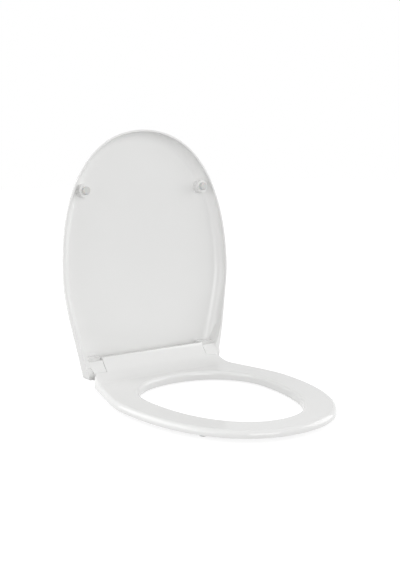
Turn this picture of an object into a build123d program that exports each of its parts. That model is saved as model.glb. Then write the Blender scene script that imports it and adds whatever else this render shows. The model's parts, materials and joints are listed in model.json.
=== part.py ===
"""Toilet seat: an oval ring and a dished lid on one rear hinge, with the lid swung open."""
import os
from math import cos, degrees, hypot, radians, sin, sqrt, tan

from build123d import *

# Frame: X runs along the hinge, the front of the seat points to -Y and Z is up.
# The origin is midway between the two fixing holes, on the pan's rim (z = 0).
# Inside this script y is counted from the hinge axis; place() adds the set-back at the end.

# Hinge
HINGE_HEIGHT = 29.0
HINGE_SET_BACK = 10.5
LID_OPEN_ANGLE = 93.7
FIXING_SPACING = 155.0
RUNNING_CLEARANCE = 0.08
SEATED_CLEARANCE = 0.03
MOVING_GAP = 1.5

# Ring in plan
RING_HALF_WIDTH = 182.0
RING_LENGTH = 448.6
RING_WIDEST = 186.3
RING_SIDE_BAND = 55.1
RING_FRONT_BAND = 51.3
RING_REAR_BAND = 57.3
RING_REAR_TAPER = 38.0
RING_REAR_EDGE = 17.5
RING_REAR_SLOPE = 0.215
RING_CORNER_RADIUS = 26.0
HOLE_SHIFT = 6.3
FRONT_FULLNESS = 0.618
HOLE_FULLNESS = 0.601
FLANK_START = 35.0
FLANK_END = 60.0

# Ring in section
RING_TOP = 20.0
RING_UNDERSIDE = 7.8
HOLE_WALL_UNDERSIDE = 3.5
RING_WALL = 3.2
RING_OUTER_ROUND = 8.0
RING_HOLE_ROUND = 7.0
RIB_COUNT = 14
RIB_THICKNESS = 2.5

# Raised deck and hinge barrel on the ring
BARREL_INSET = 30.0
BARREL_RADIUS = 25.6
BARREL_END_WALL = 8.0
BARREL_BACK_ANGLE = -20.0
BARREL_MID_ANGLE = 45.0
DECK_SWEEP_START = 58.0
DECK_SWEEP_RADIUS = 62.7
DECK_OVERRUN = 12.5
POST_SLOT_ANGLE = 33.0

# Lid, drawn closed
LID_OVERHANG = 2.3
LID_NOSE_OVERHANG = 2.9
LID_HINGE_OVERHANG = 5.5
LID_REAR_SLOPE = 0.2
LID_RIM_GAP = 6.0
LID_RIM_DROP = 7.5
LID_DROP_START = 135.0
LID_DROP_END = 30.0
LID_DROP_PULL = 40.0
LID_WALL = 3.2
LID_SHOULDER = 22.0
LID_CROWN_RADIUS = 4000.0
LID_CROWN_FRONT = 21.6
LID_CROWN_PULL = 160.0
LID_CROWN_OVERRUN = 1.5
LID_NOSE_SLOPE = 1.0
LID_FLARE_SLOPE = 5.0
LID_SKIN_EDGE = 8.0
LID_FLANK_START = 60.0
LID_FLANK_END = 100.0
LID_REAR_REACH = 30.0
LUG_LEDGE = 26.0
LUG_FACE_RISE = 7.5
LUG_RADIUS = 11.5
EAR_WIDTH = 12.0
EAR_INNER_SLOPE = 0.379
EAR_RADIUS = 14.5
EAR_BACK_ROUND = 30.0
EAR_CORNER_RADIUS = 10.0

# Pins, bushes and posts
PIN_RADIUS = 4.0
PIN_END_GAP = 1.0
BUSH_WALL = 1.9
LID_BUSH_LENGTH = 19.0
POST_HEAD_RADIUS = 11.0
POST_HALF_LENGTH = 15.0
POST_FOOT_FRONT = 11.0
POST_FOOT_HEIGHT = 5.0
PAD_THICKNESS = 2.0
PAD_CORNER_RADIUS = 3.0
INSERT_RADIUS = 6.0
INSERT_LENGTH = 18.0
INSERT_THREAD_RADIUS = 3.4

# Soft stops
LID_BUFFER_INSET = 53.3
LID_BUFFER_SETBACK = 111.5
LID_BUFFER_RADIUS = 7.5
LID_BUFFER_REACH = 7.5
LID_BOSS_RADIUS = 12.0
RING_BUFFER_FRONT_INSET = 60.0
RING_BUFFER_FRONT_SETBACK = 98.6
RING_BUFFER_REAR_INSET = 40.0
RING_BUFFER_REAR_LEAD = 66.3
RING_BUFFER_RADIUS = 8.0
RING_BOSS_RADIUS = 10.0
STEM_RADIUS = 3.5
STEM_LENGTH = 7.0
BUFFER_FOOT_ROUND = 1.8
STOP_GAP = 0.3

# Widths, lengths and fits that follow from the sizes above
RING_REAR_HALF_WIDTH = RING_HALF_WIDTH - RING_REAR_TAPER
HOLE_HALF_WIDTH = RING_HALF_WIDTH - RING_SIDE_BAND
HOLE_FRONT = RING_LENGTH - RING_FRONT_BAND
HOLE_REAR = RING_REAR_EDGE + RING_REAR_BAND
HOLE_WIDEST = RING_WIDEST + HOLE_SHIFT
BARREL_HALF_LENGTH = RING_REAR_HALF_WIDTH - BARREL_INSET
LID_HALF_WIDTH = RING_HALF_WIDTH + LID_OVERHANG
LID_LENGTH = RING_LENGTH + LID_NOSE_OVERHANG
LID_HINGE_HALF_WIDTH = RING_REAR_HALF_WIDTH + LID_HINGE_OVERHANG
LID_RIM = RING_TOP + LID_RIM_GAP
LID_SKIN_RADIUS = BARREL_RADIUS + MOVING_GAP
LID_BUFFER_X = LID_HALF_WIDTH - LID_BUFFER_INSET
LID_BUFFER_Y = LID_LENGTH - LID_BUFFER_SETBACK
RING_BUFFER_FRONT_X = RING_HALF_WIDTH - RING_BUFFER_FRONT_INSET
RING_BUFFER_FRONT_Y = RING_LENGTH - RING_BUFFER_FRONT_SETBACK
RING_BUFFER_REAR_X = RING_HALF_WIDTH - RING_BUFFER_REAR_INSET
RING_BUFFER_REAR_Y = RING_WIDEST - RING_BUFFER_REAR_LEAD
BUSH_BORE = PIN_RADIUS + RUNNING_CLEARANCE
BUSH_RADIUS = BUSH_BORE + BUSH_WALL
BUSH_SEAT = BUSH_RADIUS + SEATED_CLEARANCE
INSERT_SEAT = INSERT_RADIUS + SEATED_CLEARANCE
STEM_BORE = STEM_RADIUS + SEATED_CLEARANCE
STEM_DEPTH = STEM_LENGTH + SEATED_CLEARANCE
FIXING_X = FIXING_SPACING / 2
LUG_START = BARREL_HALF_LENGTH + MOVING_GAP
LID_SAG = LID_CROWN_RADIUS - sqrt(LID_CROWN_RADIUS**2 - LUG_START**2)
LID_TOP = HINGE_HEIGHT + LID_SKIN_RADIUS + LID_SAG + LID_WALL
HINGE_AXIS = Axis((0, 0, HINGE_HEIGHT), (1, 0, 0))
HIGH = 120.0
CUT_PAST = 1.0
SPAN = 2 * (LID_HALF_WIDTH + LID_LENGTH)


def place(shape):
    """Move a shape from the hinge-centred drawing to the frame of the fixing holes."""
    return Pos(0, HINGE_SET_BACK, 0) * shape


def block(x0, x1, y0, y1, z0, z1):
    """A box between two corners."""
    return Pos((x0 + x1) / 2, (y0 + y1) / 2, (z0 + z1) / 2) * Box(x1 - x0, y1 - y0, z1 - z0)


def both_sides(shape):
    """A shape and its mirror image across the middle of the seat."""
    return shape + mirror(shape, Plane.YZ)


def cross_rod(radius, x0, x1):
    """A round bar on the hinge axis, from x0 to x1."""
    return Pos((x0 + x1) / 2, 0, HINGE_HEIGHT) * (Rot(0, 90, 0) * Cylinder(radius, x1 - x0))


def side_prism(profile, half_length):
    """A profile drawn in the Y-Z plane, run out to both sides along X."""
    return extrude(profile, half_length, both=True)


def symmetric_face(curves):
    """Close half an outline with its mirror image across X = 0."""
    half = Curve() + curves
    return make_face(half + mirror(half, Plane.YZ))


def ring_outline(inset, overrun):
    """The ring's plan: a full rounded nose, an easy flank and a straight run past the rear edge."""
    width = RING_HALF_WIDTH - inset
    nose_y = inset - RING_LENGTH
    flank_x = RING_REAR_HALF_WIDTH - inset
    flank_y = -RING_REAR_EDGE - inset
    rear_x = flank_x - RING_REAR_SLOPE * overrun
    rear_y = flank_y + overrun
    nose_reach = FRONT_FULLNESS * (RING_WIDEST + nose_y)
    nose = Bezier((0, nose_y), (FRONT_FULLNESS * width, nose_y),
                  (width, nose_reach - RING_WIDEST), (width, -RING_WIDEST))
    flank = Bezier((width, -RING_WIDEST), (width, FLANK_START - RING_WIDEST),
                   (flank_x + RING_REAR_SLOPE * FLANK_END, flank_y - FLANK_END), (flank_x, flank_y))
    run = [Line((flank_x, flank_y), (rear_x, rear_y))] if overrun else []
    return symmetric_face([nose, flank] + run + [Line((rear_x, rear_y), (0, rear_y))])


def ring_plan(inset=0.0):
    """Plan of the ring, with its rear corners rounded."""
    face = ring_outline(inset, 0)
    corners = face.vertices().group_by(Axis.Y)[-1].filter_by(lambda v: abs(v.X) > CUT_PAST)
    return fillet(corners, RING_CORNER_RADIUS - inset)


def hole_plan(outset=0.0):
    """Plan of the opening in the ring, longer in front of its widest line than behind it."""
    width = HOLE_HALF_WIDTH + outset
    front = HOLE_FRONT + outset
    rear = HOLE_REAR - outset
    front_reach = HOLE_WIDEST + HOLE_FULLNESS * (front - HOLE_WIDEST)
    rear_reach = HOLE_WIDEST - HOLE_FULLNESS * (HOLE_WIDEST - rear)
    nose = Bezier((0, -front), (HOLE_FULLNESS * width, -front),
                  (width, -front_reach), (width, -HOLE_WIDEST))
    tail = Bezier((width, -HOLE_WIDEST), (width, -rear_reach),
                  (HOLE_FULLNESS * width, -rear), (0, -rear))
    return symmetric_face([nose, tail])


def lid_plan(inset=0.0):
    """Plan of the closed lid, run on behind the hinge so that the ears can be cut from it."""
    width = LID_HALF_WIDTH - inset
    nose_y = inset - LID_LENGTH
    rear_x = LID_HINGE_HALF_WIDTH - LID_REAR_SLOPE * LID_REAR_REACH - inset
    nose_reach = FRONT_FULLNESS * (RING_WIDEST + nose_y)
    nose = Bezier((0, nose_y), (FRONT_FULLNESS * width, nose_y),
                  (width, nose_reach - RING_WIDEST), (width, -RING_WIDEST))
    flank = Bezier((width, -RING_WIDEST), (width, LID_FLANK_START - RING_WIDEST),
                   (rear_x + LID_REAR_SLOPE * LID_FLANK_END, LID_REAR_REACH - LID_FLANK_END),
                   (rear_x, LID_REAR_REACH))
    rear = Line((rear_x, LID_REAR_REACH), (0, LID_REAR_REACH))
    return symmetric_face([nose, flank, rear])


def plan_prism(face, z0, z1):
    """A plan outline run up from z0 to z1."""
    return extrude(Pos(0, 0, z0) * face, z1 - z0)


def top_edges(solid, z_from):
    """The edges of a solid that lie wholly above a height."""
    return solid.edges().filter_by(lambda e: e.bounding_box().min.Z > z_from)


def hole_rim(solid):
    """The edges round the hole on a solid's flat top."""
    flat_top = solid.faces().filter_by(Plane.XY).sort_by(Axis.Z)[-1]
    return flat_top.inner_wires()[0].edges()


def barrel_point(radius, angle):
    """A point of the Y-Z section at a radius and an angle about the hinge axis."""
    return (radius * cos(radians(angle)), HINGE_HEIGHT + radius * sin(radians(angle)))


def deck_apex(sweep_radius, barrel_radius):
    """Where the deck's concave sweep runs into the barrel, in the Y-Z section."""
    rise = RING_TOP + DECK_SWEEP_RADIUS - HINGE_HEIGHT
    distance = hypot(DECK_SWEEP_START, rise)
    along = (barrel_radius**2 - sweep_radius**2 + distance**2) / (2 * distance)
    across = sqrt(barrel_radius**2 - along**2)
    y = (across * rise - along * DECK_SWEEP_START) / distance
    z = HINGE_HEIGHT + (along * rise + across * DECK_SWEEP_START) / distance
    return (y, z)


def deck_surface(wall):
    """The top line of the deck and barrel in the Y-Z section, sunk by a wall thickness."""
    sweep_radius = DECK_SWEEP_RADIUS + wall
    barrel_radius = BARREL_RADIUS - wall
    apex = deck_apex(sweep_radius, barrel_radius)
    start = (-DECK_SWEEP_START, RING_TOP - wall)
    sweep = TangentArc(start, apex, tangent=(1, 0))
    back = barrel_point(barrel_radius, BARREL_BACK_ANGLE)
    crown = ThreePointArc(apex, barrel_point(barrel_radius, BARREL_MID_ANGLE), back)
    return start, sweep, crown, back


def ring_form(wall):
    """The ring without its hole: a flat top that sweeps up to the rear, sunk by a wall thickness."""
    rear_y = DECK_OVERRUN - RING_REAR_EDGE
    radius = DECK_SWEEP_RADIUS + wall
    start = (-DECK_SWEEP_START, RING_TOP - wall)
    rise = radius - sqrt(radius**2 - (DECK_SWEEP_START + rear_y)**2)
    finish = (rear_y, RING_TOP - wall + rise)
    sweep = TangentArc(start, finish, tangent=(1, 0))
    flat = Polyline(finish, (rear_y, RING_UNDERSIDE), (-SPAN, RING_UNDERSIDE),
                    (-SPAN, RING_TOP - wall), start)
    section = Plane.YZ * make_face(Curve() + [sweep, flat])
    form = plan_prism(ring_outline(wall, DECK_OVERRUN), RING_UNDERSIDE, HIGH) & side_prism(section, SPAN)
    outer = top_edges(form, RING_TOP - wall - CUT_PAST).filter_by(lambda e: abs(e.center().X) > CUT_PAST)
    form = fillet(outer, RING_OUTER_ROUND - wall)
    return form & plan_prism(ring_plan(wall), RING_UNDERSIDE, HIGH)


def make_barrel():
    """The hinge barrel, with the deck's sweep running up into it."""
    start, sweep, crown, back = deck_surface(0)
    foot = (-DECK_SWEEP_START, RING_UNDERSIDE)
    closing = Polyline(back, (0, RING_UNDERSIDE), foot, start)
    section = Plane.YZ * make_face(Curve() + [sweep, crown, closing])
    return side_prism(section, BARREL_HALF_LENGTH)


def barrel_hollow():
    """The open inside of the barrel, between its end walls."""
    start, sweep, crown, back = deck_surface(RING_WALL)
    beyond = barrel_point(BARREL_RADIUS + RING_WALL, BARREL_BACK_ANGLE)
    closing = Polyline(back, beyond, (beyond[0], -HIGH), (-DECK_SWEEP_START, -HIGH), start)
    section = Plane.YZ * make_face(Curve() + [sweep, crown, closing])
    return side_prism(section, BARREL_HALF_LENGTH - BARREL_END_WALL)


def post_slots():
    """Slots in the barrel's back wall, so that it clears the posts when the ring is raised."""
    half = POST_HALF_LENGTH + MOVING_GAP
    top = barrel_point(BARREL_RADIUS, POST_SLOT_ANGLE)[1]
    return both_sides(block(FIXING_X - half, FIXING_X + half, 0, SPAN, 0, top))


def ring_channel():
    """The open channel under the ring, with radial ribs left standing in it."""
    channel = ring_form(RING_WALL) - plan_prism(hole_plan(RING_WALL), -HIGH, HIGH)
    channel = fillet(hole_rim(channel), RING_HOLE_ROUND - RING_WALL)
    for index in range(RIB_COUNT):
        turn = 360 * (index + 0.5) / RIB_COUNT
        rib = block(0, SPAN, -RIB_THICKNESS / 2, RIB_THICKNESS / 2, RING_UNDERSIDE + RIB_THICKNESS, HIGH)
        channel -= Pos(0, -HOLE_WIDEST, 0) * (Rot(0, 0, turn) * rib)
    return channel


def ring_buffer_places():
    """The four stops under the ring, by name."""
    return {
        "front_left": (-RING_BUFFER_FRONT_X, -RING_BUFFER_FRONT_Y),
        "front_right": (RING_BUFFER_FRONT_X, -RING_BUFFER_FRONT_Y),
        "rear_left": (-RING_BUFFER_REAR_X, -RING_BUFFER_REAR_Y),
        "rear_right": (RING_BUFFER_REAR_X, -RING_BUFFER_REAR_Y),
    }


def upright(radius, x, y, z0, z1):
    """A round bar standing at x, y from z0 to z1."""
    return Pos(x, y, (z0 + z1) / 2) * Cylinder(radius, z1 - z0)


def make_ring():
    """The ring: a rounded shell, a wall round the hole, ribs, stop bosses and the barrel."""
    hole = plan_prism(hole_plan(), -HIGH, HIGH)
    body = ring_form(0) - hole
    body = fillet(hole_rim(body), RING_HOLE_ROUND)
    body += make_barrel()
    body -= ring_channel()
    body -= barrel_hollow()
    body -= post_slots()
    body += plan_prism(hole_plan(RING_WALL), HOLE_WALL_UNDERSIDE, RING_UNDERSIDE + RING_WALL) - hole
    for x, y in ring_buffer_places().values():
        body += upright(RING_BOSS_RADIUS, x, y, RING_UNDERSIDE, RING_TOP - RING_WALL / 2)
        body -= upright(STEM_BORE, x, y, 0, RING_UNDERSIDE + STEM_DEPTH)
    bore = cross_rod(BUSH_SEAT, BARREL_HALF_LENGTH - 2 * BARREL_END_WALL, LUG_START)
    return body - both_sides(bore)


def lid_crown(drop):
    """Everything under the lid's crowned top, sunk by a wall thickness."""
    hinge_z = LID_TOP - drop
    nose_way = Vector(1, tan(radians(LID_NOSE_SLOPE)))
    flare_way = Vector(1, tan(radians(LID_FLARE_SLOPE)))
    front = Vector(-LID_LENGTH, LID_RIM + LID_CROWN_FRONT - drop)
    rear = Vector(-LID_SKIN_EDGE, hinge_z) + flare_way * (LID_REAR_REACH + LID_SKIN_EDGE)
    top = Bezier(front, front + nose_way * LID_CROWN_PULL, rear - flare_way * LID_CROWN_PULL, rear)
    closing = Polyline(rear, (LID_REAR_REACH, -HIGH), (-LID_LENGTH, -HIGH), front)
    section = Plane.YZ * make_face(Curve() + [top, closing])
    axis = Axis((0, 0, hinge_z - LID_CROWN_RADIUS), (0, 1, 0))
    half_turn = LID_CROWN_OVERRUN * degrees(LID_HALF_WIDTH / LID_CROWN_RADIUS)
    return revolve(section.rotate(axis, -half_turn), axis, 2 * half_turn)


def shouldered(solid, radius):
    """Round the crown's edge all the way along the flanks and the nose."""
    edges = top_edges(solid, LID_RIM).filter_by(lambda e: e.center().Y < LID_REAR_REACH - CUT_PAST)
    return fillet(edges, radius)


def lid_side_view():
    """Side view of the closed lid: a flat rim that drops to round ears, and a rounded back."""
    ear_rim = LID_RIM - LID_RIM_DROP
    ear_start = (-sqrt(EAR_RADIUS**2 - (HINGE_HEIGHT - ear_rim)**2), ear_rim)
    drop_start = (-LID_DROP_START, LID_RIM)
    drop_end = (-LID_DROP_END, ear_rim)
    drop = Bezier(drop_start, (LID_DROP_PULL - LID_DROP_START, LID_RIM),
                  (-LID_DROP_END - LID_DROP_PULL, ear_rim), drop_end)
    ear = ThreePointArc(ear_start, (0, HINGE_HEIGHT - EAR_RADIUS), (EAR_RADIUS, HINGE_HEIGHT))
    turn_start = (EAR_RADIUS, LID_TOP - EAR_BACK_ROUND)
    turn_end = (EAR_RADIUS - EAR_BACK_ROUND, LID_TOP)
    back = Line((EAR_RADIUS, HINGE_HEIGHT), turn_start)
    turn = TangentArc(turn_start, turn_end, tangent=(0, 1))
    nose_y = -LID_LENGTH - CUT_PAST
    front = Polyline(turn_end, (nose_y, HIGH), (nose_y, LID_RIM), drop_start)
    return Plane.YZ * make_face(Curve() + [drop, Line(drop_end, ear_start), ear, back, turn, front])


def between_ears(z0, z1):
    """The space between the ears, whose inner faces close in towards the hinge."""
    hinge_x = LID_HINGE_HALF_WIDTH - EAR_WIDTH
    front_x = hinge_x + EAR_INNER_SLOPE * LID_LENGTH
    half = Polyline((0, LID_REAR_REACH), (hinge_x, LID_REAR_REACH), (hinge_x, 0),
                    (front_x, -LID_LENGTH), (0, -LID_LENGTH))
    return plan_prism(symmetric_face([half]), z0, z1)


def lid_dish():
    """The hollow of the closed lid, ending at the ledge in front of the lugs."""
    dish = plan_prism(lid_plan(LID_WALL), -HIGH, HIGH) & lid_crown(LID_WALL)
    dish = shouldered(dish, LID_SHOULDER - LID_WALL)
    dish &= block(-SPAN, SPAN, -SPAN, -LUG_LEDGE, -HIGH, HIGH)
    return dish & between_ears(-HIGH, HIGH)


def barrel_room():
    """The gap between the lugs where the ring's barrel stands."""
    room = block(-LUG_START, LUG_START, -2 * LUG_LEDGE, LID_REAR_REACH, -HIGH, HIGH)
    behind_skin = block(-LUG_START, LUG_START, -LID_SKIN_EDGE, LID_REAR_REACH, -HIGH, HIGH)
    return (room & lid_crown(LID_WALL)) + behind_skin


def deck_room():
    """The space under the lugs that clears the ring's deck when the lid is closed."""
    radius = DECK_SWEEP_RADIUS - MOVING_GAP
    face = HINGE_HEIGHT + LUG_FACE_RISE
    start = (-DECK_SWEEP_START, RING_TOP + MOVING_GAP)
    reach = sqrt(radius**2 - (RING_TOP + DECK_SWEEP_RADIUS - face)**2) - DECK_SWEEP_START
    sweep = TangentArc(start, (reach, face), tangent=(1, 0))
    closing = Polyline((reach, face), (LID_REAR_REACH, face), (LID_REAR_REACH, 0),
                       (-DECK_SWEEP_START, 0), start)
    section = Plane.YZ * make_face(Curve() + [sweep, closing])
    return side_prism(section, SPAN) & between_ears(0, HIGH)


def make_lid():
    """The closed lid: a crowned shell with a deep shoulder, lugs, ears and stop bosses."""
    shell = shouldered(plan_prism(lid_plan(), 0, HIGH) & lid_crown(0), LID_SHOULDER)
    shell &= side_prism(lid_side_view(), SPAN)
    outside = shell
    shell -= lid_dish()
    shell -= barrel_room()
    shell -= deck_room() - both_sides(cross_rod(LUG_RADIUS, LUG_START, LID_HINGE_HALF_WIDTH))
    boss_end = RING_TOP + STOP_GAP + LID_BUFFER_REACH
    for x in (-LID_BUFFER_X, LID_BUFFER_X):
        shell += upright(LID_BOSS_RADIUS, x, -LID_BUFFER_Y, boss_end, HIGH) & outside
        shell -= upright(STEM_BORE, x, -LID_BUFFER_Y, 0, boss_end + STEM_DEPTH)
    bore = cross_rod(BUSH_SEAT, 0, LUG_START + LID_BUSH_LENGTH + SEATED_CLEARANCE)
    return shell - both_sides(bore) - ear_corners()


def ear_corners():
    """What a rounded rear corner takes off the outside of each ear."""
    middle_y = (EAR_RADIUS - SPAN) / 2
    face = lid_plan() & (Pos(0, middle_y) * Rectangle(SPAN, EAR_RADIUS + SPAN))
    corners = face.vertices().group_by(Axis.Y)[-1]
    rounded = fillet(corners, EAR_CORNER_RADIUS)
    arc = rounded.edges().filter_by(GeomType.CIRCLE).sort_by(Axis.X)[-1]
    flank, back = arc.vertices().sort_by(Axis.Y)
    outside = Polyline((back.X, back.Y), (back.X, SPAN), (SPAN, SPAN), (SPAN, flank.Y), (flank.X, flank.Y))
    return both_sides(plan_prism(make_face(Curve() + [arc, outside]), 0, HIGH))


def open_lid(shape):
    """Swing a piece of the closed lid up to its open place."""
    return shape.rotate(HINGE_AXIS, -LID_OPEN_ANGLE)


def make_buffer(radius, x, y, z0, z1):
    """A soft stop: a round pad from z0 to z1 with a rounded foot and a stem above it."""
    pad = upright(radius, x, y, z0, z1)
    pad = fillet(pad.edges().group_by(Axis.Z)[0], BUFFER_FOOT_ROUND)
    return pad + upright(STEM_RADIUS, x, y, z1, z1 + STEM_LENGTH)


def make_post():
    """The right post: a foot on its pad, a leaning column and a round head about the pin."""
    foot_front = -HINGE_SET_BACK - POST_FOOT_FRONT
    foot_back = -HINGE_SET_BACK + POST_FOOT_FRONT
    column = Polyline((foot_front, PAD_THICKNESS), (foot_back, PAD_THICKNESS),
                      (foot_back, PAD_THICKNESS + POST_FOOT_HEIGHT),
                      (POST_HEAD_RADIUS, HINGE_HEIGHT - POST_HEAD_RADIUS), (POST_HEAD_RADIUS, HINGE_HEIGHT),
                      (-POST_HEAD_RADIUS, HINGE_HEIGHT),
                      (foot_front, PAD_THICKNESS + POST_FOOT_HEIGHT), close=True)
    head = Pos(0, HINGE_HEIGHT) * Circle(POST_HEAD_RADIUS)
    section = Plane.YZ * (make_face(column) + head)
    post = Pos(FIXING_X, 0, 0) * side_prism(section, POST_HALF_LENGTH)
    post -= cross_rod(PIN_RADIUS + SEATED_CLEARANCE, 0, LUG_START)
    return post - upright(INSERT_SEAT, FIXING_X, -HINGE_SET_BACK, 0, INSERT_LENGTH)


def make_pad():
    """The soft pad under the right post."""
    plan = RectangleRounded(2 * POST_HALF_LENGTH, 2 * POST_FOOT_FRONT, PAD_CORNER_RADIUS)
    pad = Pos(FIXING_X, -HINGE_SET_BACK, 0) * extrude(plan, PAD_THICKNESS)
    return pad - upright(INSERT_SEAT, FIXING_X, -HINGE_SET_BACK, -CUT_PAST, PAD_THICKNESS + CUT_PAST)


def make_insert():
    """The threaded insert in the right post, flush with the pad's underside."""
    insert = upright(INSERT_RADIUS, FIXING_X, -HINGE_SET_BACK, 0, INSERT_LENGTH)
    bore_top = INSERT_LENGTH + CUT_PAST
    return insert - upright(INSERT_THREAD_RADIUS, FIXING_X, -HINGE_SET_BACK, -CUT_PAST, bore_top)


def make_pin():
    """The right hinge pin, from the post's inner face to the end of the lid's bush."""
    inner_end = FIXING_X - POST_HALF_LENGTH + PIN_END_GAP
    outer_end = LUG_START + LID_BUSH_LENGTH - PIN_END_GAP
    pin = cross_rod(PIN_RADIUS, inner_end, outer_end)
    pin = chamfer(pin.edges(), PIN_END_GAP / 2)
    collar_start = FIXING_X + POST_HALF_LENGTH
    return pin + cross_rod(BUSH_RADIUS, collar_start, collar_start + BUSH_WALL)


def make_bush(x0, x1):
    """A plain bush on the hinge axis."""
    return cross_rod(BUSH_RADIUS, x0, x1) - cross_rod(BUSH_BORE, x0 - CUT_PAST, x1 + CUT_PAST)


def make_pieces():
    """Every piece by name, in its place."""
    pieces = {"seat_ring": make_ring(), "lid": open_lid(make_lid())}
    for name, (x, y) in ring_buffer_places().items():
        pieces["ring_buffer_" + name] = make_buffer(RING_BUFFER_RADIUS, x, y, 0, RING_UNDERSIDE)
    right = {
        "hinge_post": make_post(),
        "post_pad": make_pad(),
        "fixing_insert": make_insert(),
        "hinge_pin": make_pin(),
        "seat_bush": make_bush(BARREL_HALF_LENGTH - BARREL_END_WALL, BARREL_HALF_LENGTH),
        "lid_bush": open_lid(make_bush(LUG_START, LUG_START + LID_BUSH_LENGTH)),
        "lid_buffer": open_lid(make_buffer(LID_BUFFER_RADIUS, LID_BUFFER_X, -LID_BUFFER_Y,
                                           RING_TOP + STOP_GAP, RING_TOP + STOP_GAP + LID_BUFFER_REACH)),
    }
    for name, shape in right.items():
        pieces[name + "_right"] = shape
        pieces[name + "_left"] = mirror(shape, Plane.YZ)
    return pieces


os.makedirs("parts", exist_ok=True)
for node, solid in make_pieces().items():
    export_step(place(solid), "parts/" + node + ".step")
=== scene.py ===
# %% [markdown]
# # A white toilet seat with its lid open
#
# Two glossy mouldings, a ring and a dished lid, turn on steel pins in two posts that bolt to the pan.
# The solids come from the CAD frame in metres, with the front of the seat towards -Y and the hinge along X.
# Most of them already have the right shape, so this lesson is mainly about the view, light and finishes.
# Its last steps model what the solids lack: the smooth ends of the hinge.

# %% Load the frame
import json
import math

import bmesh
import bpy
from mathutils import Matrix, Vector


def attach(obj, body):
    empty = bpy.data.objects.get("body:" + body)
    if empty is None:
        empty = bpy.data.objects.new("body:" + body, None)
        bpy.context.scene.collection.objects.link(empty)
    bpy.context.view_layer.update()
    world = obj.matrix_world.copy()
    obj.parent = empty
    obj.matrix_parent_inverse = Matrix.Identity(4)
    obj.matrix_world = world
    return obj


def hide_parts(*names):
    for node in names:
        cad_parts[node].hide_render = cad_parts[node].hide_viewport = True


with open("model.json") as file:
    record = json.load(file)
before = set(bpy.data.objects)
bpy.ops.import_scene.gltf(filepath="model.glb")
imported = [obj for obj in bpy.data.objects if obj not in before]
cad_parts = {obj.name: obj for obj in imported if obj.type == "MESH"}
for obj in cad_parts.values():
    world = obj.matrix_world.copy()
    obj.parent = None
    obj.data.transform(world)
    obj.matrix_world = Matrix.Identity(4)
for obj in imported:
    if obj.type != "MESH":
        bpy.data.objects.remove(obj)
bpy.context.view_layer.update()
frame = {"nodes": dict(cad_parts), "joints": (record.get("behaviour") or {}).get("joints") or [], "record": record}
nodes = frame["nodes"]

# %% [markdown]
# ## Camera
#
# The picture was taken from the front left, a little above the seat, with a long lens.
# A camera can be placed by eye, but a small error shows at once in the oval of the ring.
# So the place, target and lens were solved from the outlines of the ring, its hole and the lid.

# %% Place the camera
CAMERA_PLACE = Vector((-0.9181, -1.4862, 0.4696))
CAMERA_TARGET = Vector((0.0242, -0.1163, 0.1977))
CAMERA_LENS_MM, CAMERA_SENSOR_MM = 57.93, 36.0


def turn_to(place, target):
    """The turn that points a camera or a lamp from its place to a target."""
    return (target - place).to_track_quat("-Z", "Y").to_euler()


camera = bpy.data.objects.new("camera", bpy.data.cameras.new("camera"))
camera.data.lens = CAMERA_LENS_MM
camera.data.sensor_width = CAMERA_SENSOR_MM
camera.location = CAMERA_PLACE
camera.rotation_euler = turn_to(CAMERA_PLACE, CAMERA_TARGET)
scene = bpy.context.scene
scene.collection.objects.link(camera)
scene.camera = camera
scene.view_settings.view_transform = "Standard"
print("camera distance:", round((CAMERA_TARGET - CAMERA_PLACE).length, 3), "m")

# %% [markdown]
# ## Helpers for the finishes
#
# Colours are easiest to pick as sRGB hex values, but shaders work in linear light, so a function converts.
# A second one adds a shader node, sets its options, and fills or links its inputs.
# A third starts a material with an empty tree, so that nothing in it comes from a default.

# %% Colour and node helpers
def linear(hex_colour):
    """An sRGB hex value as a linear RGBA colour, by the sRGB curve."""
    channels = [int(hex_colour[i:i + 2], 16) / 255 for i in (1, 3, 5)]
    return [c / 12.92 if c <= 0.04045 else ((c + 0.055) / 1.055) ** 2.4 for c in channels] + [1.0]


def add(tree, kind, inputs=None, **options):
    """Add a node, set its options, then fill or link its inputs."""
    node = tree.nodes.new(kind)
    for name, value in options.items():
        setattr(node, name, value)
    for name, value in (inputs or {}).items():
        if isinstance(value, bpy.types.NodeSocket):
            tree.links.new(value, node.inputs[name])
        else:
            node.inputs[name].default_value = value
    return node


def new_finish(name):
    """A material with an empty node tree."""
    finish = bpy.data.materials.new(name)
    finish.use_nodes = True
    finish.node_tree.nodes.clear()
    return finish


WHITE = linear("#ffffff")
print("mid grey in linear light:", round(linear("#808080")[0], 3))

# %% [markdown]
# ## The sky
#
# A studio shot on white has a plain white background, which is far more light than a white object can take.
# One way is to flood the backdrop with lamps, but their light would bleach the seat.
# Instead the sky is split by the kind of ray: the camera, the reflections and clear things see full white,
# while the object is lit by a much weaker grey.

# %% Split the sky
SKY_LIGHT = 0.44


def split(tree, shown, lighting):
    """Show one shader to the camera, reflections and clear things, and give every other ray the other one."""
    path = add(tree, "ShaderNodeLightPath").outputs
    seen = path["Is Camera Ray"]
    for kind in ("Is Glossy Ray", "Is Transmission Ray"):
        seen = add(tree, "ShaderNodeMath", {0: seen, 1: path[kind]}, operation="MAXIMUM").outputs[0]
    return add(tree, "ShaderNodeMixShader", {0: seen, 1: lighting.outputs[0], 2: shown.outputs[0]})


world = bpy.data.worlds.new("studio")
world.use_nodes = True
scene.world = world
tree = world.node_tree
tree.nodes.clear()
backdrop = add(tree, "ShaderNodeBackground", {"Color": WHITE, "Strength": 1.0})
grey_light = add(tree, "ShaderNodeBackground", {"Color": WHITE, "Strength": SKY_LIGHT})
sky = split(tree, backdrop, grey_light)
add(tree, "ShaderNodeOutputWorld", {"Surface": sky.outputs[0]})
print("sky light on the object:", SKY_LIGHT)

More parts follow.
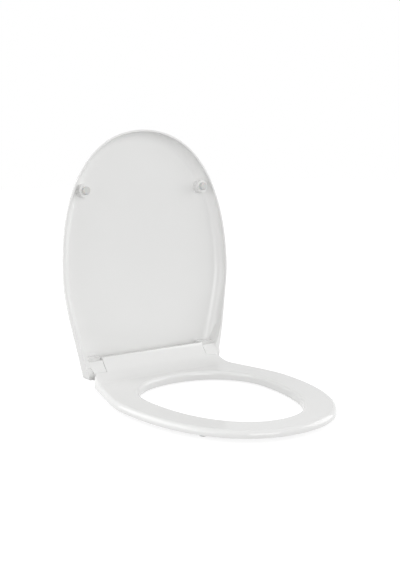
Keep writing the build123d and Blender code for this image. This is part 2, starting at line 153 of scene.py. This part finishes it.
# %% [markdown]
# ## The floor
#
# The seat stands on a sheet of white paper that melts into the background and keeps a faint shadow.
# A shadow catcher would need a second pass, so the paper is mostly its own white, and a share takes light.
# Where the object blocks the light, only that share darkens.
# Its own white rises to full white with distance, so that no horizon shows.
# For the light that it bounces up it is a matt grey.

# %% Lay the floor
FLOOR_SIZE = 12.0
FLOOR_OWN_WHITE = 0.86
FLOOR_SHADOW_SHARE = 0.3
FLOOR_FADE_FROM, FLOOR_FADE_TO = 0.45, 1.1

paper = new_finish("white_studio_paper")
tree = paper.node_tree
place = add(tree, "ShaderNodeTexCoord").outputs["Object"]
away = add(tree, "ShaderNodeVectorMath", {0: place}, operation="LENGTH")
fade = add(tree, "ShaderNodeMapRange", {
    "Value": away.outputs["Value"], "From Min": FLOOR_FADE_FROM, "From Max": FLOOR_FADE_TO,
    "To Min": FLOOR_OWN_WHITE, "To Max": 1.0})
own_white = add(tree, "ShaderNodeEmission", {"Color": WHITE, "Strength": fade.outputs[0]})
shadow_share = add(tree, "ShaderNodeBsdfDiffuse", {"Color": [FLOOR_SHADOW_SHARE] * 3 + [1.0]})
shown = add(tree, "ShaderNodeAddShader", {0: shadow_share.outputs[0], 1: own_white.outputs[0]})
matt = add(tree, "ShaderNodeBsdfDiffuse", {"Color": linear("#b4b4b4")})
surface = split(tree, shown, matt)
add(tree, "ShaderNodeOutputMaterial", {"Surface": surface.outputs[0]})

bpy.ops.mesh.primitive_plane_add(size=FLOOR_SIZE)
floor = bpy.context.object
floor.name = "floor"
floor.data.materials.append(paper)
print("floor:", FLOOR_SIZE, "m across")

# %% [markdown]
# ## Lamps
#
# Large soft boxes give the long, pale highlights of a gloss moulding, where small lamps would give hard dots.
# The front box lights the ring and the lid's panel, and the big one behind on the left the tops and the back.
# The right box keeps the far wall of the lid from going dull, and a weak one at the left lifts the near rim.
# Their powers were worked out from renders with one lamp on at a time.

# %% Soft boxes
SOFT_BOXES = {
    "front_box": {"place": (-0.4, -2.6, 0.8), "size": 1.6, "power": 24.5},
    "rear_left_box": {"place": (-1.9, 1.2, 1.2), "size": 2.4, "power": 35.0},
    "right_box": {"place": (2.2, -0.9, 0.8), "size": 2.0, "power": 25.0},
    "left_box": {"place": (-2.4, -0.5, 0.7), "size": 1.4, "power": 10.0},
}
LAMP_TARGET = Vector((0.0, -0.1, 0.2))

for name, box in SOFT_BOXES.items():
    lamp = bpy.data.objects.new(name, bpy.data.lights.new(name, "AREA"))
    lamp.data.size = box["size"]
    lamp.data.energy = box["power"]
    lamp.location = box["place"]
    lamp.rotation_euler = turn_to(lamp.location, LAMP_TARGET)
    scene.collection.objects.link(lamp)
print("lamps:", ", ".join(SOFT_BOXES))

# %% [markdown]
# ## White gloss moulding
#
# Seats like this are pressed from white urea resin or polypropylene in a polished mould.
# The eye reads a clean white with a hard gloss and no grain, and reflections that are very slightly uneven.
# One flat white would look drawn, so the colour drifts by a hair over a hand's width,
# the gloss has a faint haze, and a low, wide bump like the skin of an orange moves the reflections.

# %% White gloss moulding
MM = 0.001
# A colour Mix node has its factor at input 0, its colours at inputs 6 and 7, and its result at output 2.
FACTOR, FIRST, SECOND, MIXED = 0, 6, 7, 2
DRIFT_MM, HAZE_MM, PEEL_MM = 140.0, 45.0, 7.0

white = new_finish("white_gloss_moulding")
tree = white.node_tree
place = add(tree, "ShaderNodeTexCoord").outputs["Object"]
drift = add(tree, "ShaderNodeTexNoise", {"Vector": place, "Scale": 1 / (DRIFT_MM * MM), "Detail": 2.0})
colour = add(tree, "ShaderNodeMix", {
    FACTOR: drift.outputs["Fac"], FIRST: linear("#ebebea"), SECOND: linear("#eeeeed")}, data_type="RGBA")
haze = add(tree, "ShaderNodeTexNoise", {"Vector": place, "Scale": 1 / (HAZE_MM * MM), "Detail": 3.0})
rough = add(tree, "ShaderNodeMapRange", {"Value": haze.outputs["Fac"], "To Min": 0.07, "To Max": 0.12})
peel = add(tree, "ShaderNodeTexNoise", {"Vector": place, "Scale": 1 / (PEEL_MM * MM), "Detail": 1.0})
bump = add(tree, "ShaderNodeBump", {"Height": peel.outputs["Fac"], "Strength": 0.08, "Distance": 0.2 * MM})
shader = add(tree, "ShaderNodeBsdfPrincipled", {
    "Base Color": colour.outputs[MIXED], "Roughness": rough.outputs[0], "Normal": bump.outputs[0],
    "IOR": 1.5})
add(tree, "ShaderNodeOutputMaterial", {"Surface": shader.outputs[0]})
print(white.name, len(tree.nodes), "nodes")

# %% [markdown]
# ## Hinge plastic
#
# The posts and bushes are moulded from white acetal, which is waxy and has a spark-eroded grain.
# Grain this fine needs no modelling: a bump and an uneven gloss are enough.
# The real grain is about a fifth of a millimetre; it is drawn at half a millimetre so that it shows.

# %% Satin acetal
GRAIN_MM, TONE_MM = 0.5, 25.0

acetal = new_finish("satin_white_acetal")
tree = acetal.node_tree
place = add(tree, "ShaderNodeTexCoord").outputs["Object"]
grain = add(tree, "ShaderNodeTexNoise", {"Vector": place, "Scale": 1 / (GRAIN_MM * MM), "Detail": 2.0})
tone = add(tree, "ShaderNodeTexNoise", {"Vector": place, "Scale": 1 / (TONE_MM * MM)})
colour = add(tree, "ShaderNodeMix", {
    FACTOR: tone.outputs["Fac"], FIRST: linear("#e2e2de"), SECOND: linear("#e9e9e6")}, data_type="RGBA")
rough = add(tree, "ShaderNodeMapRange", {"Value": grain.outputs["Fac"], "To Min": 0.38, "To Max": 0.52})
bump = add(tree, "ShaderNodeBump", {"Height": grain.outputs["Fac"], "Strength": 0.25, "Distance": 0.05 * MM})
shader = add(tree, "ShaderNodeBsdfPrincipled", {
    "Base Color": colour.outputs[MIXED], "Roughness": rough.outputs[0], "Normal": bump.outputs[0],
    "IOR": 1.48})
add(tree, "ShaderNodeOutputMaterial", {"Surface": shader.outputs[0]})
print(acetal.name, len(tree.nodes), "nodes")

# %% [markdown]
# ## Soft stops
#
# The stops are moulded from a milky elastomer, which looks greyer than the hard white around it.
# A see-through shader would show what is behind them, but the real ones only let light sink a little way in.
# So a small share of subsurface scattering softens their shading, under a blotchy bloom.

# %% Milky elastomer
BLOOM_MM = 4.0

elastomer = new_finish("milky_grey_elastomer")
tree = elastomer.node_tree
place = add(tree, "ShaderNodeTexCoord").outputs["Object"]
bloom = add(tree, "ShaderNodeTexNoise", {"Vector": place, "Scale": 1 / (BLOOM_MM * MM), "Detail": 3.0})
colour = add(tree, "ShaderNodeMix", {
    FACTOR: bloom.outputs["Fac"], FIRST: linear("#ccccca"), SECOND: linear("#d8d8d6")}, data_type="RGBA")
rough = add(tree, "ShaderNodeMapRange", {"Value": bloom.outputs["Fac"], "To Min": 0.42, "To Max": 0.6})
bump = add(tree, "ShaderNodeBump", {"Height": bloom.outputs["Fac"], "Strength": 0.1, "Distance": 0.1 * MM})
shader = add(tree, "ShaderNodeBsdfPrincipled", {
    "Base Color": colour.outputs[MIXED], "Roughness": rough.outputs[0], "Normal": bump.outputs[0],
    "IOR": 1.45, "Subsurface Weight": 0.15, "Subsurface Scale": 1.5 * MM})
add(tree, "ShaderNodeOutputMaterial", {"Surface": shader.outputs[0]})
print(elastomer.name, len(tree.nodes), "nodes")

# %% [markdown]
# ## Foot pads
#
# A sheet of grey closed-cell foam rubber is die-cut to the shape of each post's foot.
# Its cells are under a millimetre, and a Voronoi pattern gives their small hollows in the bump, since noise has no
# cells.
# The colour is darker in the middle of each hollow: painted shade, which makes the fine speckle.

# %% Foam rubber
CELL_MM = 0.9

foam = new_finish("grey_foam_rubber")
tree = foam.node_tree
place = add(tree, "ShaderNodeTexCoord").outputs["Object"]
cells = add(tree, "ShaderNodeTexVoronoi", {"Vector": place, "Scale": 1 / (CELL_MM * MM)})
# The darker grey at each cell's middle is painted shade in its hollow.
colour = add(tree, "ShaderNodeMix", {
    FACTOR: cells.outputs["Distance"], FIRST: linear("#9c9c9a"), SECOND: linear("#b9b9b6")}, data_type="RGBA")
bump = add(tree, "ShaderNodeBump", {
    "Height": cells.outputs["Distance"], "Strength": 0.4, "Distance": 0.15 * MM})
shader = add(tree, "ShaderNodeBsdfPrincipled", {
    "Base Color": colour.outputs[MIXED], "Roughness": 0.85, "Normal": bump.outputs[0], "IOR": 1.5})
add(tree, "ShaderNodeOutputMaterial", {"Surface": shader.outputs[0]})
print(foam.name, len(tree.nodes), "nodes")

# %% [markdown]
# ## Hinge pins
#
# The pins are cut from bright drawn steel bar, which has fine lines along its length.
# An anisotropic shader would only stretch the highlight, so the lines themselves are drawn.
# They run along X, so the noise is stretched that way.

# %% Drawn steel
DRAWN_LINE_MM, DRAWN_LENGTH_MM = 0.25, 30.0

steel = new_finish("bright_drawn_steel")
tree = steel.node_tree
place = add(tree, "ShaderNodeTexCoord").outputs["Object"]
stretch = (1 / DRAWN_LENGTH_MM, 1 / DRAWN_LINE_MM, 1 / DRAWN_LINE_MM)
along = add(tree, "ShaderNodeMapping", {"Vector": place, "Scale": stretch})
lines = add(tree, "ShaderNodeTexNoise", {"Vector": along.outputs[0], "Scale": 1 / MM, "Detail": 2.0})
colour = add(tree, "ShaderNodeMix", {
    FACTOR: lines.outputs["Fac"], FIRST: linear("#a9abad"), SECOND: linear("#d2d3d4")}, data_type="RGBA")
rough = add(tree, "ShaderNodeMapRange", {"Value": lines.outputs["Fac"], "To Min": 0.2, "To Max": 0.36})
bump = add(tree, "ShaderNodeBump", {"Height": lines.outputs["Fac"], "Strength": 0.15, "Distance": 0.02 * MM})
shader = add(tree, "ShaderNodeBsdfPrincipled", {
    "Base Color": colour.outputs[MIXED], "Roughness": rough.outputs[0], "Normal": bump.outputs[0],
    "Metallic": 1.0})
add(tree, "ShaderNodeOutputMaterial", {"Surface": shader.outputs[0]})
print(steel.name, len(tree.nodes), "nodes")

# %% [markdown]
# ## Fixing inserts
#
# The inserts are turned from brass bar and tapped from below.
# A real thread would cost thousands of faces inside a bore that only shows from underneath.
# So bands along Z at the thread's pitch stand for its flanks, and a cloudy tarnish breaks up the colour.

# %% Turned brass
THREAD_PITCH_MM, TARNISH_MM = 1.25, 3.0

brass = new_finish("turned_brass")
tree = brass.node_tree
place = add(tree, "ShaderNodeTexCoord").outputs["Object"]
# A wave repeats every pi / (10 x scale) metres along its axis.
wave_scale = math.pi / (10 * THREAD_PITCH_MM * MM)
thread = add(tree, "ShaderNodeTexWave", {"Vector": place, "Scale": wave_scale}, bands_direction="Z")
tarnish = add(tree, "ShaderNodeTexNoise", {"Vector": place, "Scale": 1 / (TARNISH_MM * MM), "Detail": 4.0})
colour = add(tree, "ShaderNodeMix", {
    FACTOR: tarnish.outputs["Fac"], FIRST: linear("#b48a3e"), SECOND: linear("#dcb968")}, data_type="RGBA")
rough = add(tree, "ShaderNodeMapRange", {"Value": tarnish.outputs["Fac"], "To Min": 0.22, "To Max": 0.4})
bump = add(tree, "ShaderNodeBump", {"Height": thread.outputs["Fac"], "Strength": 0.6, "Distance": 0.5 * MM})
shader = add(tree, "ShaderNodeBsdfPrincipled", {
    "Base Color": colour.outputs[MIXED], "Roughness": rough.outputs[0], "Normal": bump.outputs[0],
    "Metallic": 1.0})
add(tree, "ShaderNodeOutputMaterial", {"Surface": shader.outputs[0]})
print(brass.name, len(tree.nodes), "nodes")

# %% [markdown]
# ## Dress the nodes
#
# Each CAD node keeps its mesh and only gets its finish.
# Finishes could be given node by node, but the record already names a slot for each, so the slot chooses.

# %% Give every node its finish
FINISH_OF_SLOT = {
    "white_moulding": white,
    "hinge_plastic": acetal,
    "stop_rubber": elastomer,
    "pad_rubber": foam,
    "pin_steel": steel,
    "insert_brass": brass,
}
for subpart in frame["record"]["subparts"]:
    mesh = nodes[subpart["node"]].data
    mesh.materials.clear()
    mesh.materials.append(FINISH_OF_SLOT[subpart["material_slot"]])

# %% [markdown]
# ## Knuckles
#
# Where the lid's lugs reach round the pins, the moulding swells to a smooth knuckle in line with the barrel.
# It is round about the hinge axis, so it can turn in the small gap behind the ring without touching it.
# A plain cylinder would have hard ends, so half of its section is drawn: points along and out from the axis.
# Three of their corners are rounded, and the section is spun about X.
# The left knuckle is drawn mirrored across the middle of the seat.

# %% Spin the knuckles
SIDES = {"right": 1, "left": -1}
KNUCKLE_SECTION_MM = [(115.7, 11.3), (115.7, 16.4), (131.0, 16.2),
                      (137.6, 14.4), (141.0, 14.2), (141.0, 11.3)]
KNUCKLE_EDGE_MM, KNUCKLE_EDGE_STEPS = 1.2, 4
KNUCKLE_SPIN_STEPS = 96
KNUCKLE_MERGE_MM = 0.001
hinge_axis = Vector(frame["joints"][0]["pos_m"])


def piece_from(shape, name):
    """Make a linked object of a bmesh and let the bmesh go."""
    piece = bpy.data.objects.new(name, bpy.data.meshes.new(name))
    shape.to_mesh(piece.data)
    shape.free()
    scene.collection.objects.link(piece)
    return piece


for side, flip in SIDES.items():
    shape = bmesh.new()
    corners = [shape.verts.new((flip * x * MM, hinge_axis.y, hinge_axis.z + r * MM))
               for x, r in KNUCKLE_SECTION_MM]
    for start, end in zip(corners, corners[1:] + corners[:1]):
        shape.edges.new((start, end))
    bmesh.ops.bevel(shape, geom=corners[1:4], offset=KNUCKLE_EDGE_MM * MM, segments=KNUCKLE_EDGE_STEPS,
                    profile=0.5, affect="VERTICES", material=-1)
    bmesh.ops.spin(shape, geom=shape.verts[:] + shape.edges[:], cent=hinge_axis, axis=(1, 0, 0),
                   angle=math.tau, steps=KNUCKLE_SPIN_STEPS, use_merge=True)
    bmesh.ops.remove_doubles(shape, verts=shape.verts[:], dist=KNUCKLE_MERGE_MM * MM)
    bmesh.ops.recalc_face_normals(shape, faces=shape.faces[:])
    knuckle = piece_from(shape, "lid_knuckle_" + side)
    knuckle.data.shade_smooth()
    knuckle.data.materials.append(white)
    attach(knuckle, "lid")
    print(knuckle.name, len(knuckle.data.polygons), "faces")

# %% [markdown]
# ## Lug lips
#
# Above each knuckle the lid's lug fills out into a lip that carries on the hollow sweep of the ring's deck,
# so that the open seat shows one even surface with a fine gap.
# A lip spun like the knuckle would stand proud of the hollow, so its section follows the deck instead:
# points back and up from the hinge axis, extruded along the hinge, with the lower edge rounded.
# Its outer end leans like the ear that it runs into.

# %% Extrude the lips
LIP_SWEEP_MM = [(-4.4, 21.0), (-7.0, 17.0), (-10.0, 13.1), (-13.0, 9.8), (-16.0, 6.9), (-20.3, 3.3)]
LIP_BACK_MM = [(-20.2, -2.0), (-18.5, -6.5), (-13.5, -5.0), (-12.5, 3.0), (-9.0, 10.0), (0.0, 13.5),
               (9.0, 12.0), (9.0, 25.0), (6.6, 23.4), (4.0, 21.4), (0.0, 21.3)]
LIP_START_MM, LIP_LENGTH_MM = 114.8, 24.4
LIP_EDGE_MM, LIP_EDGE_STEPS = 2.6, 5
LIP_SHARP_DEGREES = 40
EAR_LEAN = 0.379
NEAR_MM = 0.1

for side, flip in SIDES.items():
    shape = bmesh.new()
    corners = [shape.verts.new((flip * LIP_START_MM * MM, hinge_axis.y + y * MM, hinge_axis.z + z * MM))
               for y, z in LIP_SWEEP_MM + LIP_BACK_MM]
    lower_end = corners[len(LIP_SWEEP_MM) - 1].co.copy()
    grown = bmesh.ops.extrude_face_region(shape, geom=[shape.faces.new(corners)], use_keep_orig=True)["geom"]
    for vert in [g for g in grown if isinstance(g, bmesh.types.BMVert)]:
        lean = max(vert.co.z - hinge_axis.z, 0.0) * EAR_LEAN
        vert.co.x += flip * (LIP_LENGTH_MM * MM + lean)
    lower_edge = [e for e in shape.edges if all((v.co - lower_end).yz.length < NEAR_MM * MM for v in e.verts)]
    bmesh.ops.bevel(shape, geom=lower_edge, offset=LIP_EDGE_MM * MM, segments=LIP_EDGE_STEPS, profile=0.5,
                    affect="EDGES", material=-1)
    bmesh.ops.recalc_face_normals(shape, faces=shape.faces[:])
    lip = piece_from(shape, "lid_lip_" + side)
    lip.data.shade_smooth()
    lip.data.set_sharp_from_angle(angle=math.radians(LIP_SHARP_DEGREES))
    lip.data.materials.append(white)
    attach(lip, "lid")
    print(lip.name, len(lip.data.polygons), "faces")

# %% [markdown]
# ## Pockets in the ring
#
# A lip that far forward needs room to swing down, so each rear corner of the ring has a round pocket.
# A CAD mesh is never changed, so the pockets are cut from a copy of it, which then stands for the ring.
# First come the two cylinders that cut them, about the hinge axis.
# Then comes the copy, with its loose triangles merged into a closed skin.

# %% Make the cutter and the copy
POCKET_RADIUS_MM, POCKET_STEPS = 22.2, 128
POCKET_FROM_MM, POCKET_TO_MM = 114.2, 141.0
RING_MERGE_MM = 0.0005

shape = bmesh.new()
for flip in SIDES.values():
    middle = Vector((flip * (POCKET_FROM_MM + POCKET_TO_MM) / 2 * MM, hinge_axis.y, hinge_axis.z))
    bmesh.ops.create_cone(shape, cap_ends=True, segments=POCKET_STEPS, radius1=POCKET_RADIUS_MM * MM,
                          radius2=POCKET_RADIUS_MM * MM, depth=(POCKET_TO_MM - POCKET_FROM_MM) * MM,
                          matrix=Matrix.Translation(middle) @ Matrix.Rotation(math.pi / 2, 4, "Y"))
bmesh.ops.recalc_face_normals(shape, faces=shape.faces[:])
cutter = piece_from(shape, "pocket_cutter")

shape = bmesh.new()
shape.from_mesh(nodes["seat_ring"].data)
bmesh.ops.remove_doubles(shape, verts=shape.verts[:], dist=RING_MERGE_MM * MM)
print("open edges in the copy:", sum(not edge.is_manifold for edge in shape.edges))
ring = piece_from(shape, "seat_ring_pocketed")

# %% [markdown]
# ## Cut the ring
#
# The cut is a Boolean modifier, whose result becomes the copy's mesh, and the cutter is thrown away.
# The cut leaves long thin triangles, which would streak the gloss if all counted alike.
# Weighted normals let the broad faces decide the shading and keep the sharp edges sharp.

# %% Cut the pockets and shade the copy
RING_SHARP_DEGREES = 30
BROAD_FACE_WEIGHT = 50


def apply_modifiers(piece):
    """Give a piece the mesh that its modifiers make, and drop them."""
    finished = piece.evaluated_get(bpy.context.evaluated_depsgraph_get())
    mesh = bpy.data.meshes.new_from_object(finished)
    piece.modifiers.clear()
    piece.data = mesh


pocket = ring.modifiers.new("pocket", "BOOLEAN")
pocket.operation = "DIFFERENCE"
pocket.solver = "MANIFOLD"
pocket.object = cutter
apply_modifiers(ring)
bpy.data.objects.remove(cutter)
ring.data.shade_smooth()
ring.data.set_sharp_from_angle(angle=math.radians(RING_SHARP_DEGREES))
shading = ring.modifiers.new("shading", "WEIGHTED_NORMAL")
shading.keep_sharp = True
shading.weight = BROAD_FACE_WEIGHT
apply_modifiers(ring)
ring.data.materials.clear()
ring.data.materials.append(white)
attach(ring, "seat")
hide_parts("seat_ring")
print(ring.name, len(ring.data.polygons), "faces")
